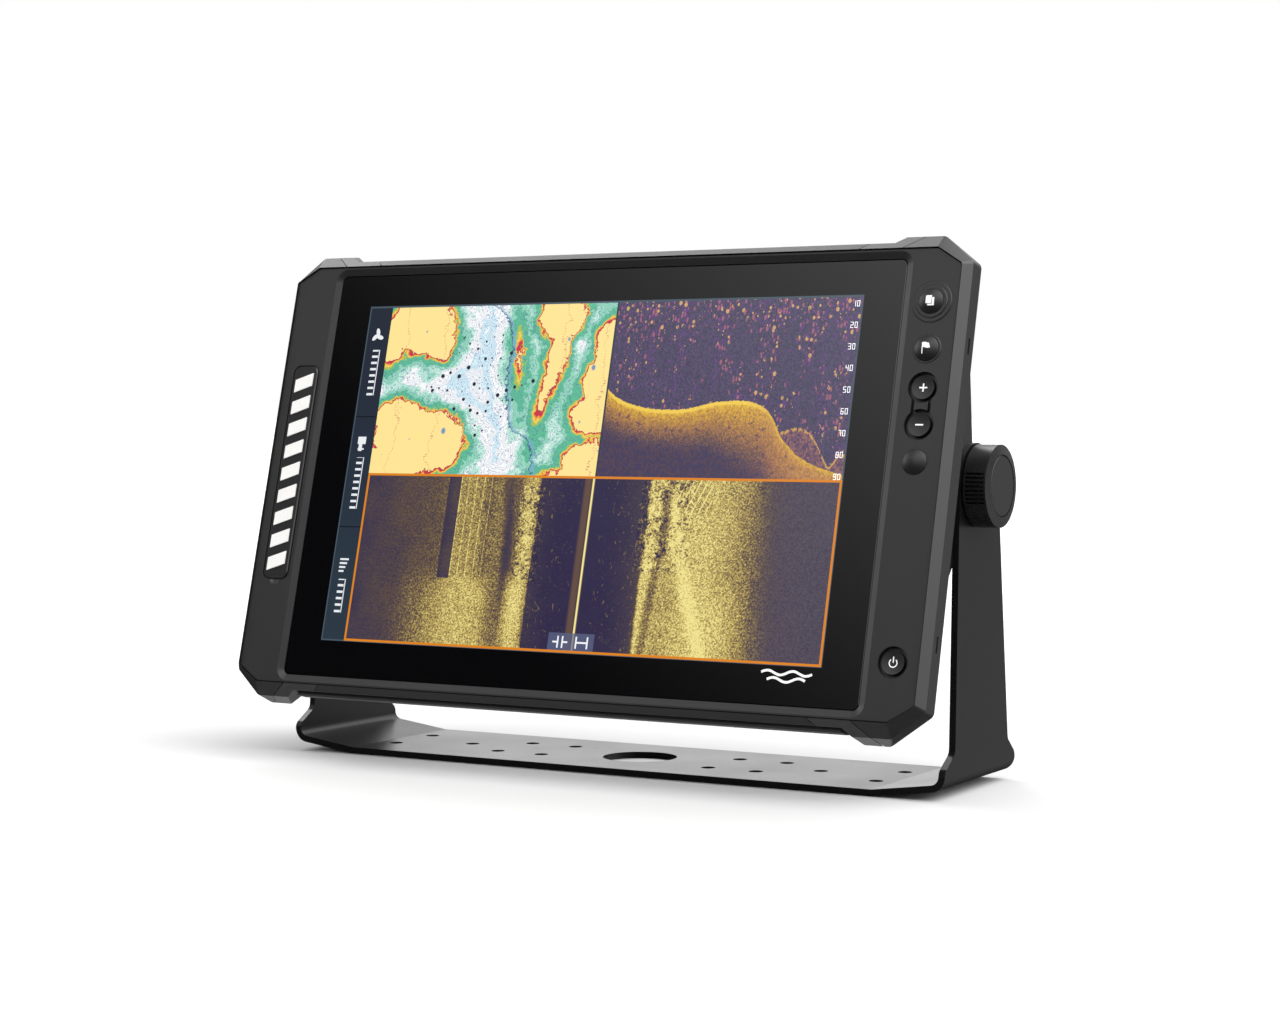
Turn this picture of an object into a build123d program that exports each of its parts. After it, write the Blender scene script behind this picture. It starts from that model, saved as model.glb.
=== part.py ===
from build123d import *
import math
import os

# Marine chartplotter display in its U-shaped gimbal bracket, millimetres, +Z up.
# Origin: middle of the underside of the bracket base. X runs left to right, the screen faces -Y.
# Display pieces are drawn upright around the pivot axis: x across, z up, and "depth" measured
# back from the front edge of the bezel. They are then tilted back and moved up to the pivot.

# ---- bracket ----
sheet = 3.0                    # bent plate thickness
base_crease = 137.8            # x where the flat base starts to rise
base_depth = 80.0              # front to back
arm_outer = 172.0              # outer face of each arm
end_slope = math.radians(7.6)  # rise of the base ends
pivot_y = -6.4
pivot_z = 133.5
tip_radius = 18.7
screw_hole_r = 3.3
cable_hole_r = 17.5
hole_row_y = 15.7
paired_hole_x = (129.0, 69.5, 45.0)
single_hole_x = 94.5
stud_hole_r = 4.4
rest_tilt = 14.66              # degrees that the display leans back

# ---- bezel ----
face_y = -48.8                 # bezel front edge, in front of the pivot axis
face_z = -9.25                 # height of the face centre above the pivot axis
face_w, face_h = 175.4, 102.4  # half sizes of the flat face
face_cut = (11.8, 7.5)         # corner cut along x and z
rim_w, rim_h = 178.6, 108.5
rim_cut = (14.1, 11.8)
rim_depth = 4.7                # depth where the sloping band ends
back_w, back_h = 179.3, 110.8
back_cut = (17.6, 13.8)
face_round, rim_round, back_round = 1.5, 2.5, 3.5
bezel_depth = 12.0
face_step = 0.8                # face lies this far behind the band's front edge
bar_h = 105.3                  # half height between the corner bumps
ramp_low, ramp_high = 142.4, 149.6
bar_depth = 3.3
lip_front = 4.9                # front of the lip behind the top and bottom rails
lip_top, lip_bottom = 105.7, 107.2
side_slot_z = (51.0, -77.0)    # short slots in the side walls
seam_inner, seam_outer = 126.6, 147.15
seam_lean = 1.35
seam_gap = 0.25

# ---- window, glass and screen ----
glass_w, glass_h, glass_r = 149.3, 97.8, 3.0
glass_front, glass_back = 2.2, 3.6
bevel = 3.3
screen_w, screen_h = 138.4, 88.6
ledge_front = 4.2

# ---- keys ----
key_x = 163.2
key_r = 5.5
key_gap = 0.15
key_travel = 0.6
key_flange_r = 6.3
column_back = 4.2              # thickness of the wall in front of the keypad
key_rows = {
    "page_key": 68.85,
    "waypoint_key": 48.2,
    "zoom_in_key": 31.3,
    "zoom_out_key": 15.15,
    "option_key": -1.1,
    "power_key": -86.25,
}
well_keys = ("zoom_in_key", "zoom_out_key", "power_key")
well_key_r = 5.1
well_r = 6.8
well_depth = 2.3
collars = {"page_key": [(9.2, 0.45), (7.3, 0.9)], "waypoint_key": [(6.5, 0.35)]}  # radius, height

# ---- rear cover ----
wall = 2.5
cover_w = 164.6
cover_back_w = 162.6
cover_back = 62.0              # depth of the flat back
cover_profile = [(12, 84), (20, 84), (50, 50), (62, 20), (62, -19), (50, -40), (24, -102), (12, -102)]
flange_back = 14.5
socket_z = -1.0
socket_x = {"power_socket": -66.0, "sonar_socket": -28.0, "network_socket": 10.0, "ethernet_socket": 44.0}
socket_r = 8.0                 # barrel that a plug collar locks onto
socket_inner_r = 7.7           # barrel inside the cover
socket_pins = {"power_socket": 4, "sonar_socket": 9, "network_socket": 5, "ethernet_socket": 5}
door_x, door_w, door_h = 96.0, 36.0, 20.0
hinge_z = 12.5
hinge_depth = 65.0

# ---- pivot hardware ----
boss_face = 167.0
washer_t = 1.6
knob_in, knob_out = 172.9, 184.0
knob_r = 18.0
knob_slope = 0.9               # the outer ring of the knob falls back by this much
cap_r = 13.2                   # radius of the cap set in the knob
stud_r = 4.0


def front_plane(depth):
    return Plane(origin=(0, face_y + depth, 0), x_dir=(1, 0, 0), z_dir=(0, -1, 0))


def slab(shape, front, back):
    """Extrude a flat shape drawn in x and z from one depth to a deeper one."""
    return extrude(front_plane(back) * shape, amount=back - front, dir=(0, -1, 0))


def octagon(half_w, half_h, cut, radius):
    """Rectangle with cut corners, centred on the face, its eight corners rounded."""
    cut_x, cut_z = cut
    right = [(half_w - cut_x, half_h), (half_w, half_h - cut_z)]
    right += [(x, -z) for x, z in reversed(right)]
    corners = right + [(-x, z) for x, z in reversed(right)]
    shape = Polygon(*[(x, z + face_z) for x, z in corners], align=None)
    return fillet(shape.vertices(), radius)


def face_octagon():
    return octagon(face_w, face_h, face_cut, face_round)


def rounded(x, z, width, height, radius):
    return Pos(x, z) * RectangleRounded(width, height, radius)


def disc(x, z, radius):
    return Pos(x, z) * Circle(radius)


def x_rod(x0, x1, radius, y=0.0, z=0.0):
    plane = Plane(origin=(x0, y, z), x_dir=(0, 1, 0), z_dir=(1, 0, 0))
    return extrude(plane * Circle(radius), amount=x1 - x0, dir=(1, 0, 0))


def block(x0, x1, front, back, z0, z1):
    shape = Pos((x0 + x1) / 2, (z0 + z1) / 2) * Rectangle(x1 - x0, z1 - z0)
    return slab(shape, front, back)


# ---- bracket ----

def bracket():
    """One bent plate: flat base, gently rising ends and two upright arms."""
    inner = arm_outer - sheet
    top = pivot_z + tip_radius + 10
    rise = (arm_outer - base_crease) * math.tan(end_slope)
    inner_rise = (inner - base_crease) * math.tan(end_slope) + sheet / math.cos(end_slope)
    half = [(base_crease, 0), (arm_outer, rise), (arm_outer, top), (inner, top), (inner, inner_rise),
            (base_crease - sheet * math.tan(end_slope / 2), sheet)]
    radii = [6.0, 7.0, 0.5, 0.5, 4.0, 3.0]
    points = half + [(-x, z) for x, z in reversed(half)]
    path = FilletPolyline(*points, radius=radii + radii[::-1], close=True)
    plane = Plane(origin=(0, base_depth / 2, 0), x_dir=(1, 0, 0), z_dir=(0, -1, 0))
    plate = extrude(plane * make_face(path), amount=base_depth, dir=(0, -1, 0))
    side = Plane(origin=(-arm_outer - 5, 0, 0), x_dir=(0, 1, 0), z_dir=(1, 0, 0))
    plate &= extrude(side * arm_outline(), amount=2 * arm_outer + 10, dir=(1, 0, 0))
    holes = [(x * sx, hole_row_y * sy) for x in paired_hole_x for sx in (-1, 1) for sy in (-1, 1)]
    holes += [(-single_hole_x, 0), (single_hole_x, 0)]
    for x, y in holes:
        plate -= Pos(x, y, 0) * Cylinder(screw_hole_r, 4 * sheet)
    plate -= Cylinder(cable_hole_r, 4 * sheet)
    plate -= x_rod(-arm_outer - 5, arm_outer + 5, stud_hole_r, pivot_y, pivot_z)
    return plate


def arm_outline():
    """Side view of an arm in y and z: round tip, tapered shank and flared foot."""
    half = base_depth / 2
    front, rear = -28.7, 31.5
    low, high = 12.5, 19.4
    shank = [(front, high), (rear, high), (20.8, 114.2)]
    tip = Pos(pivot_y, pivot_z) * Circle(tip_radius)
    upper = make_hull((tip + Polygon(*shank, align=None)).edges())
    foot = [(front, high), (-half, low), (-half, -5), (half, -5), (half, low), (rear, high)]
    outline = upper + Polygon(*foot, align=None)
    flare = [v for v in outline.vertices() if low - 1 < v.Y < high + 1]
    return fillet(flare, 4.0)


# ---- bezel ----

def rim_solid():
    """Outer form of the bezel: sloping band in front, near-upright wall behind, corner bumps."""
    front = front_plane(0) * face_octagon()
    middle = front_plane(rim_depth) * octagon(rim_w, rim_h, rim_cut, rim_round)
    back = front_plane(bezel_depth) * octagon(back_w, back_h, back_cut, back_round)
    form = loft([front, middle], ruled=True) + loft([middle, back], ruled=True)
    reach = back_h + 2
    slope = (reach - bar_h) * (ramp_high - ramp_low) / (back_h - bar_h)
    half = [(ramp_low, bar_h), (ramp_low + slope, reach), (back_w + 5, reach)]
    quarter = half + [(x, -z) for x, z in reversed(half)]
    outline = quarter + [(-x, -z) for x, z in quarter]
    shape = Polygon(*[(x, z + face_z) for x, z in outline], align=None)
    return form & slab(shape, 0, bezel_depth)


def lip():
    """Thin shelf that shows behind the top and bottom rails."""
    half = ramp_low - 0.3
    shelf = block(-half, half, lip_front, bezel_depth, face_z - lip_bottom, face_z + lip_top)
    return chamfer(shelf.faces().sort_by(Axis.Y)[0].edges(), 0.8)


def window_cut():
    """Bevelled opening that the glass drops into, and the ledge it lies on."""
    opening = rounded(0, face_z, 2 * glass_w + 0.5, 2 * glass_h + 0.5, glass_r)
    wide = rounded(0, face_z, 2 * (glass_w + bevel), 2 * (glass_h + bevel), glass_r + bevel)
    funnel = loft([front_plane(face_step) * wide, front_plane(glass_front) * opening])
    ledge = rounded(0, face_z, 2 * screen_w + 1.0, 2 * screen_h + 1.0, 0.6)
    return funnel + slab(opening, glass_front, ledge_front) + slab(ledge, ledge_front, bezel_depth)


def front_frame():
    core = slab(face_octagon(), face_step, bezel_depth)
    core = chamfer(core.faces().sort_by(Axis.Y)[0].edges(), 0.6)
    frame = core + lip() + key_collars()
    frame -= window_cut()
    frame -= block(153.6, 172.2, column_back, bezel_depth, face_z - 90, face_z + 90)
    frame -= block(-172.2, -153.6, column_back, bezel_depth, face_z - 90, face_z + 90)
    for name, z in key_rows.items():
        frame -= slab(disc(key_x, z, key_radius(name) + key_gap), -2, column_back + 1)
        if name in well_keys:
            frame -= slab(disc(key_x, z, well_r), 0, face_step + well_depth)
    frame -= well_links()
    frame -= badge_groove()
    frame -= Pos(-162.2, face_y - 3.2, -61.6) * Sphere(5.0)
    for x, z in screw_points():
        frame -= slab(disc(x, z, 1.25), 7, bezel_depth)
    return frame


def key_radius(name):
    return well_key_r if name in well_keys else key_r


def key_collars():
    """Raised, stepped rings around the two upper keys."""
    rings = []
    for name, steps in collars.items():
        for radius, height in steps:
            ring = slab(disc(key_x, key_rows[name], radius), face_step - height, face_step + 1)
            rings.append(chamfer(ring.faces().sort_by(Axis.Y)[0].edges(), 0.3))
    return rings


def well_links():
    """Grooves that join the two zoom wells."""
    middle = (key_rows["zoom_in_key"] + key_rows["zoom_out_key"]) / 2
    shapes = [Pos(key_x + side * 3.8, middle) * Rectangle(1.4, 6.5) for side in (-1, 1)]
    return [slab(shape, 0, face_step + well_depth) for shape in shapes]


def badge_groove():
    return slab(rounded(-162.2, face_z, 15.4, 106.0, 4.0), 0, face_step + 0.6)


def badge_plate():
    plate = slab(rounded(-162.2, face_z, 14.0, 104.6, 3.4), 0.2, face_step + 0.6)
    return chamfer(plate.faces().sort_by(Axis.Y)[0].edges(), 0.4)


def badge_inlay():
    """Row of slanted bars on the badge, a plain ornament."""
    bars = []
    count = 9
    pitch = 11.0
    for i in range(count):
        z = face_z + (i - (count - 1) / 2) * pitch
        shape = Pos(-162.2, z) * Polygon((-5.0, -4.8), (5.0, -1.4), (5.0, 4.8), (-5.0, 1.4), align=None)
        bars.append(slab(shape, -0.35, 0.2))
    return bars


def seam_x(x0, height):
    return x0 + seam_lean * (height - face_h)


def region(points):
    shape = Polygon(*[(x, z + face_z) for x, z in points], align=None)
    return slab(shape, -1, bezel_depth + 1)


def trim_pieces():
    """Band around the face, cut at the slanted seams into rails and corner links."""
    ring = rim_solid() - slab(face_octagon(), 0, bezel_depth)
    ring -= block(-ramp_low, ramp_low, bar_depth, bezel_depth, -130, 120)
    for z in side_slot_z:
        ring -= block(rim_w - 0.3, rim_w + 2, 7.4, 8.8, z - 3.5, z + 3.5)
        ring -= block(-rim_w - 2, 0.3 - rim_w, 7.4, 8.8, z - 3.5, z + 3.5)
    low, high = 85.0, 115.0
    pieces = {}
    for side, name in ((-1, "left"), (1, "right")):
        edge = [(seam_x(seam_outer, low) + seam_gap, low), (seam_x(seam_outer, high) + seam_gap, high)]
        shape = edge + [(200, high), (200, -high)] + [(x, -z) for x, z in reversed(edge)]
        pieces["side_rail_" + name] = ring & region([(side * x, z) for x, z in shape])
        link = [(seam_x(seam_inner, low) + seam_gap, low), (seam_x(seam_inner, high) + seam_gap, high),
                (seam_x(seam_outer, high) - seam_gap, high), (seam_x(seam_outer, low) - seam_gap, low)]
        for up, level in ((1, "top"), (-1, "bottom")):
            shape = [(side * x, up * z) for x, z in link]
            pieces["corner_link_" + level + "_" + name] = ring & region(shape)
    for up, level in ((1, "top"), (-1, "bottom")):
        right = [(seam_x(seam_inner, low) - seam_gap, low), (seam_x(seam_inner, high) - seam_gap, high)]
        shape = right + [(-x, z) for x, z in reversed(right)]
        pieces["rail_" + level] = ring & region([(x, up * z) for x, z in shape])
    return pieces


# ---- glass, screen and electronics ----

def cover_glass():
    glass = slab(rounded(0, face_z, 2 * glass_w, 2 * glass_h, glass_r - 0.2), glass_front, glass_back)
    return chamfer(glass.faces().sort_by(Axis.Y)[0].edges(), 0.25)


def glass_seal():
    outer = rounded(0, face_z, 2 * glass_w - 1, 2 * glass_h - 1, glass_r - 0.5)
    inner = rounded(0, face_z, 2 * screen_w + 1.6, 2 * screen_h + 1.6, 2)
    return slab(outer - inner, glass_back, ledge_front)


def screen_layer(front, back, trim=0.0):
    return slab(Pos(0, face_z) * Rectangle(2 * (screen_w - trim), 2 * (screen_h - trim)), front, back)


def panel_carrier():
    """Aluminium plate behind the screen, with posts that carry the main board."""
    plate = slab(rounded(0, face_z, 300, 170, 6), 12.4, 14.4)
    for x in (-112, 112):
        for z in (-52, 32):
            plate += slab(disc(x, z, 3.5), 14.4, 20)
    return plate


def main_board():
    board = slab(rounded(0, -10, 240, 96, 3), 20, 21.6)
    for x in (-112, 112):
        for z in (-52, 32):
            board -= slab(disc(x, z, 1.4), 19, 22)
    return board


def shield_cans():
    return [block(-60, -10, 21.6, 25, -36, 4), block(10, 50, 21.6, 25, -30, 10)]


def heat_pad():
    return block(-55, -15, 14.4, 20, -32, 0)


def keypad_board():
    return slab(rounded(key_x - 0.4, face_z, 17.4, 176, 2), 9.7, 10.9)


def key_switches():
    switches = []
    for z in key_rows.values():
        body = slab(rounded(key_x, z, 6.0, 6.0, 0.6), 9.0, 9.7) + slab(disc(key_x, z, 1.6), 8.7, 9.0)
        switches.append(body)
    return switches


def key_mat():
    mat = slab(rounded(key_x - 0.4, face_z, 17.4, 176, 2), 6.4, 7.0)
    for z in key_rows.values():
        mat -= slab(disc(key_x, z, 2.6), 6, 8)
    return mat


def key(name):
    """Round key with a retaining flange and a stem; domed, or dished when it sits in a well."""
    radius = key_radius(name)
    if name in well_keys:
        crown, edge = face_step + 0.6, face_step + 0.1
    else:
        collar = max([height for size, height in collars.get(name, [])], default=0)
        crown, edge = face_step - collar - 1.7, face_step - collar - 0.2
    flange_front, flange_back = column_back + 0.3, column_back + 1.1
    stem_end = 8.7 - key_travel - 0.15
    rise = edge - crown
    middle = (0.55 * radius, crown + rise * 0.3)
    lines = [
        ThreePointArc((0, crown), middle, (radius, edge)),
        Line((radius, edge), (radius, flange_front)),
        Line((radius, flange_front), (key_flange_r, flange_front)),
        Line((key_flange_r, flange_front), (key_flange_r, flange_back)),
        Line((key_flange_r, flange_back), (1.8, flange_back)),
        Line((1.8, flange_back), (1.8, stem_end)),
        Line((1.8, stem_end), (0, stem_end)),
        Line((0, stem_end), (0, crown)),
    ]
    body = revolve(make_face(Curve() + lines), Axis.Y)
    return Pos(key_x, face_y, key_rows[name]) * body


def screw_points():
    """Case screws around the bezel, in x and z."""
    points = [(x, z) for x in (-168.0, 168.0) for z in (face_z - 93.5, face_z + 93.5)]
    return points + [(x, z) for x in (-110.0, 0.0, 110.0) for z in (face_z - 97.0, face_z + 97.0)]


def case_screws():
    screws = []
    for x, z in screw_points():
        body = slab(disc(x, z, 1.2), 7.2, flange_back)
        body += slab(disc(x, z, 2.7), flange_back, flange_back + 1.8)
        body -= slab(Pos(x, z) * RegularPolygon(1.1, 6), flange_back + 0.7, flange_back + 2)
        screws.append(body)
    return screws


# ---- rear cover and what it carries ----

def cover_form(inset, reach):
    """Rear cover volume, shrunk by the inset and ending at the given depth."""
    middle = (cover_profile[0][1] + cover_profile[-1][1]) / 2
    points = []
    for depth, z in cover_profile:
        shift = inset if z < middle else -inset
        points.append((face_y + min(depth, cover_back) - (inset if depth > 20 else 0), z + shift))
    side = Plane(origin=(-cover_w - 5, 0, 0), x_dir=(0, 1, 0), z_dir=(1, 0, 0))
    hump = extrude(side * Polygon(*points, align=None), amount=2 * cover_w + 10, dir=(1, 0, 0))
    height = (cover_profile[0][1] - cover_profile[-1][1]) / 2 - inset
    front = front_plane(bezel_depth) * flat_octagon(cover_w - inset, height, 14, middle)
    back = front_plane(reach) * flat_octagon(cover_back_w - inset, height - 2, 14, middle)
    return hump & loft([front, back], ruled=True)


def flat_octagon(half_w, half_h, cut, centre):
    corners = [(half_w - cut, half_h), (half_w, half_h - cut)]
    corners += [(half_w, cut - half_h), (half_w - cut, -half_h)]
    corners += [(-x, -z) for x, z in corners]
    return Polygon(*[(x, z + centre) for x, z in corners], align=None)


def rear_cover():
    shell = cover_form(0, cover_back)
    shell += slab(octagon(171.5, 100.0, (13.0, 10.6), 2.0), bezel_depth, flange_back)
    shell -= cover_form(wall, cover_back)
    boss = x_rod(150, boss_face, 13.0)
    bore = x_rod(149, boss_face + 1, 5.5)
    shell += [boss, mirrored(boss)]
    shell -= [bore, mirrored(bore)]
    for name, x in socket_x.items():
        shell -= slab(disc(x, socket_z, socket_inner_r + 0.3), 50, 70)
    shell -= block(door_x - 13, door_x + 13, 50, 70, -9, 6)
    shell -= slab(disc(-112, socket_z, 3.0), 50, 70)
    for x, z in screw_points():
        shell -= slab(disc(x, z, 1.45), 11, 15)
    return shell + hinge_ears()


def hinge_ears():
    """Two ears on the back that hold the card door's hinge pin."""
    ears = None
    for side in (-1, 1):
        x0, x1 = sorted((door_x + side * (door_w / 2 + 0.4), door_x + side * (door_w / 2 + 3.4)))
        ear = x_rod(x0, x1, 2.2, face_y + hinge_depth, hinge_z)
        ear += block(x0, x1, cover_back - 1.0, hinge_depth, hinge_z - 2.2, hinge_z + 2.2)
        ear -= x_rod(x0 - 1, x1 + 1, 0.8, face_y + hinge_depth, hinge_z)
        ears = ear if ears is None else ears + ear
    return ears


def card_door():
    barrel = x_rod(door_x - door_w / 2, door_x + door_w / 2, 2.0, face_y + hinge_depth, hinge_z)
    plate = slab(rounded(door_x, hinge_z - 1.5 - door_h / 2, door_w, door_h, 2), 63.2, 65.2)
    bridge = block(door_x - door_w / 2 + 2, door_x + door_w / 2 - 2, 63.2, 65.2, hinge_z - 5, hinge_z)
    grip = block(door_x - 6, door_x + 6, 65.2, 66.2, hinge_z - door_h - 0.5, hinge_z - door_h + 1.0)
    bore = x_rod(door_x - door_w, door_x + door_w, 0.88, face_y + hinge_depth, hinge_z)
    return barrel + plate + bridge + grip - bore


def door_pin():
    half = door_w / 2 + 3.4
    return x_rod(door_x - half, door_x + half, 0.8, face_y + hinge_depth, hinge_z)


def door_seal():
    outer = rounded(door_x, -1.5, 30, 18, 2)
    inner = rounded(door_x, -1.5, 26.5, 15.5, 1.5)
    return slab(outer - inner, cover_back, 62.8)


def card_socket():
    """Twin memory card holder behind the door, with two open slots."""
    body = block(door_x - 12, door_x + 12, 36, 58, -8.0, 5.0)
    for z in (-5.0, 1.6):
        body -= block(door_x - 5.6, door_x + 5.6, 40, 59, z - 0.6, z + 0.6)
    return body


def socket(name):
    """Bulkhead socket: barrel through the cover, outside flange, open bore towards the plug."""
    x = socket_x[name]
    body = slab(disc(x, socket_z, socket_inner_r), 50, cover_back)
    body += slab(disc(x, socket_z, 10.0), cover_back, 64)
    body += slab(disc(x, socket_z, socket_r), 64, 72)
    body -= slab(disc(x, socket_z, 6.3), 60, 73)
    body -= slab(Pos(x, socket_z + 6.6) * Rectangle(2.0, 1.6), 62, 73)
    return body


def socket_nuts():
    nuts = []
    for x in socket_x.values():
        shape = Pos(x, socket_z) * (RegularPolygon(11.0, 6) - Circle(socket_inner_r + 0.05))
        nuts.append(slab(shape, cover_back - wall - 3.0, cover_back - wall))
    return nuts


def contact_pins():
    pins = []
    for name, x in socket_x.items():
        count = socket_pins[name]
        for i in range(count):
            angle = 2 * math.pi * i / count
            px, pz = x + 3.6 * math.sin(angle), socket_z + 3.6 * math.cos(angle)
            pins.append(slab(disc(px, pz, 0.6), 60, 67))
    return pins


def breather_vent():
    body = slab(disc(-112, socket_z, 2.8), 56, cover_back) + slab(disc(-112, socket_z, 6.0), cover_back, 63.2)
    for i in range(6):
        angle = math.pi * i / 3
        x, z = -112 + 3.8 * math.cos(angle), socket_z + 3.8 * math.sin(angle)
        body -= slab(disc(x, z, 0.7), 62.6, 64)
    return body


# ---- pivot hardware, right side drawn, left side mirrored ----

def pivot_insert():
    return x_rod(152.0, boss_face, 5.5) - x_rod(151, boss_face + 1, stud_r + 0.03)


def friction_washer():
    return x_rod(boss_face, boss_face + washer_t, 12.5) - x_rod(boss_face - 1, boss_face + 3, 5.0)


def knob_stud():
    return x_rod(154.0, knob_out - 3.0, stud_r) + x_rod(knob_in + 2.2, knob_out - 3.0, 7.0)


def thrust_washer():
    return x_rod(arm_outer + 0.3, knob_in + 0.6, 12.0) - x_rod(arm_outer, knob_in + 1, stud_r + 0.1)


def knob():
    """Turned grip: three groups of grip grooves, recessed underneath and open for its cap."""
    body = x_rod(knob_in, knob_out - knob_slope, knob_r)
    body += Pos(knob_out - knob_slope / 2, 0, 0) * Rot(0, 90, 0) * Cone(knob_r, cap_r + 0.7, knob_slope)
    plane = Plane(origin=(knob_in + 1.0, 0, 0), x_dir=(0, 1, 0), z_dir=(1, 0, 0))
    groups, grooves = 3, 8
    pitch = 5.8
    length = knob_out - knob_slope - 0.8 - (knob_in + 1.0)
    for group in range(groups):
        middle = 180 + rest_tilt + 2 + group * 360 / groups
        for i in range(grooves):
            angle = middle + (i - (grooves - 1) / 2) * pitch
            groove = Rot(0, 0, angle) * Pos(knob_r, 0) * Rectangle(2.0, 1.05)
            body -= extrude(plane * groove, amount=length, dir=(1, 0, 0))
    body -= x_rod(knob_in - 1, knob_in + 1.0, 12.3)
    body -= x_rod(knob_in - 1, knob_out - 3.0, stud_r)
    body -= x_rod(knob_in + 2.2, knob_out - 3.0, 7.0)
    return body - x_rod(knob_out - 1.6, knob_out + 1, cap_r + 0.2)


def knob_cap():
    cap = x_rod(knob_out - 1.6, knob_out - 0.1, cap_r)
    return chamfer(cap.faces().sort_by(Axis.X)[-1].edges(), 0.3)


def mirrored(shape):
    return mirror(shape, about=Plane.YZ)


def display_parts():
    parts = {"front_frame": front_frame(), "badge_plate": badge_plate(), "badge_inlay": badge_inlay()}
    parts.update(trim_pieces())
    parts["cover_glass"] = cover_glass()
    parts["glass_seal"] = glass_seal()
    parts["lcd_panel"] = screen_layer(4.4, 8.4)
    parts["backlight"] = screen_layer(8.6, 11.8, 1.0)
    parts["panel_carrier"] = panel_carrier()
    parts["heat_pad"] = heat_pad()
    parts["main_board"] = main_board()
    parts["shield_cans"] = shield_cans()
    parts["screen_ribbon"] = block(60, 100, 14.4, 20.0, 20.0, 20.3)
    parts["keypad_ribbon"] = block(121, 150, 16.0, 16.3, 0, 10)
    parts["keypad_board"] = keypad_board()
    parts["key_switches"] = key_switches()
    parts["key_mat"] = key_mat()
    for name in key_rows:
        parts[name] = key(name)
    parts["case_screws"] = case_screws()
    parts["rear_cover"] = rear_cover()
    parts["buzzer"] = slab(disc(85, -30, 6), 21.6, 25.1)
    parts["gps_antenna"] = block(-80, -55, 14.4, 18.4, 42, 67)
    parts["wifi_antenna"] = block(-170, -160, 6.0, 6.8, -40, 20)
    for name in socket_x:
        parts[name] = socket(name)
    parts["socket_nuts"] = socket_nuts()
    parts["contact_pins"] = contact_pins()
    parts["card_socket"] = card_socket()
    parts["card_door"] = card_door()
    parts["door_pin"] = door_pin()
    parts["door_seal"] = door_seal()
    parts["breather_vent"] = breather_vent()
    right = {
        "pivot_insert": pivot_insert(),
        "friction_washer": friction_washer(),
        "thrust_washer": thrust_washer(),
        "knob_stud": knob_stud(),
        "knob": knob(),
        "knob_cap": knob_cap(),
    }
    for name, shape in right.items():
        parts[name + "_right"] = shape
        parts[name + "_left"] = mirrored(shape)
    return parts


def main():
    os.makedirs("parts", exist_ok=True)
    place = Location((0, pivot_y, pivot_z), (-rest_tilt, 0, 0))
    shapes = {"bracket": bracket()}
    for name, shape in display_parts().items():
        group = isinstance(shape, list)
        shapes[name] = Compound([place * piece for piece in shape]) if group else place * shape
    for name, shape in shapes.items():
        export_step(shape, os.path.join("parts", name + ".step"))
    print(len(shapes), "nodes")


main()
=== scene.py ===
import math
import bpy
import bmesh
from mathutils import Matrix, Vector


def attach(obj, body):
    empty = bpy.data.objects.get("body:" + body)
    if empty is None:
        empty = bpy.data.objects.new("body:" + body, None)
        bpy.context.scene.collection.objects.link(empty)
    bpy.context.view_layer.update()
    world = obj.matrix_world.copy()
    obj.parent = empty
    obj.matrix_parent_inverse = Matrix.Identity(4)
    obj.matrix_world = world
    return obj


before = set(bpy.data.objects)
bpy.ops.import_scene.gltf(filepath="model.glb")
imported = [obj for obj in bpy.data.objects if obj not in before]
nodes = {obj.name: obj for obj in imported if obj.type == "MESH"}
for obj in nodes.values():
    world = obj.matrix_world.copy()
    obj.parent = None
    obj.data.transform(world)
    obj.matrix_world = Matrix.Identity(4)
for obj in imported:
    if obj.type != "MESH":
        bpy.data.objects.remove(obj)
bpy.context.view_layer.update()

# Display coordinates, in millimetres: u across from the middle, v up the screen from the pivot
# axis, and depth behind the front edge of the bezel. They tilt with the display at rest.
MM = 0.001
TILT = math.radians(14.66)
PIVOT = Vector((0.0, -6.4, 133.5))
FACE_Y = -48.8
GLASS_DEPTH = 2.2
PICTURE = (-130.56, 130.56, -90.02, 73.18)   # lit area: left, right, bottom, top
SIDEBAR_RIGHT = -117.4
PANEL_SPLIT_U = 8.0
PANEL_SPLIT_V = -9.5
KEY_U = 163.2
KEY_ROWS = {"page_key": 68.85, "waypoint_key": 48.2, "zoom_in_key": 31.3, "zoom_out_key": 15.15,
            "option_key": -1.1, "power_key": -86.25}
PRINT_HEIGHT = 0.06    # of the symbols printed on the keys
GLASS_PRINT_SHARE = 0.2    # prints on the glass are this much of that height
KEY_PRINT_LIFT = 0.02    # gap under a print, which keeps it off the surface
GLASS_PRINT_LIFT = 0.01
KEY_PRINT_CUTS = 3
# Crown depth, edge depth and radius of each key's front surface.
KEY_TOPS = {"page_key": (-1.8, -0.3, 5.5), "waypoint_key": (-1.25, 0.25, 5.5), "zoom_in_key": (1.4, 0.9, 5.1),
            "zoom_out_key": (1.4, 0.9, 5.1), "option_key": (-0.9, 0.6, 5.5), "power_key": (1.4, 0.9, 5.1)}


def linear(red, green, blue):
    """Scene-linear colour of an 8-bit display colour."""
    channels = []
    for value in (red, green, blue):
        share = value / 255
        channels.append(share / 12.92 if share <= 0.04045 else ((share + 0.055) / 1.055) ** 2.4)
    return (*channels, 1.0)


def display_point(u, v, depth):
    """Row-frame point, in metres, of a place on the display at rest."""
    y = FACE_Y + depth
    return Vector((u, y * math.cos(TILT) + v * math.sin(TILT) + PIVOT.y,
                   -y * math.sin(TILT) + v * math.cos(TILT) + PIVOT.z)) * MM


# ---------------------------------------------------------------- shader helpers

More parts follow.
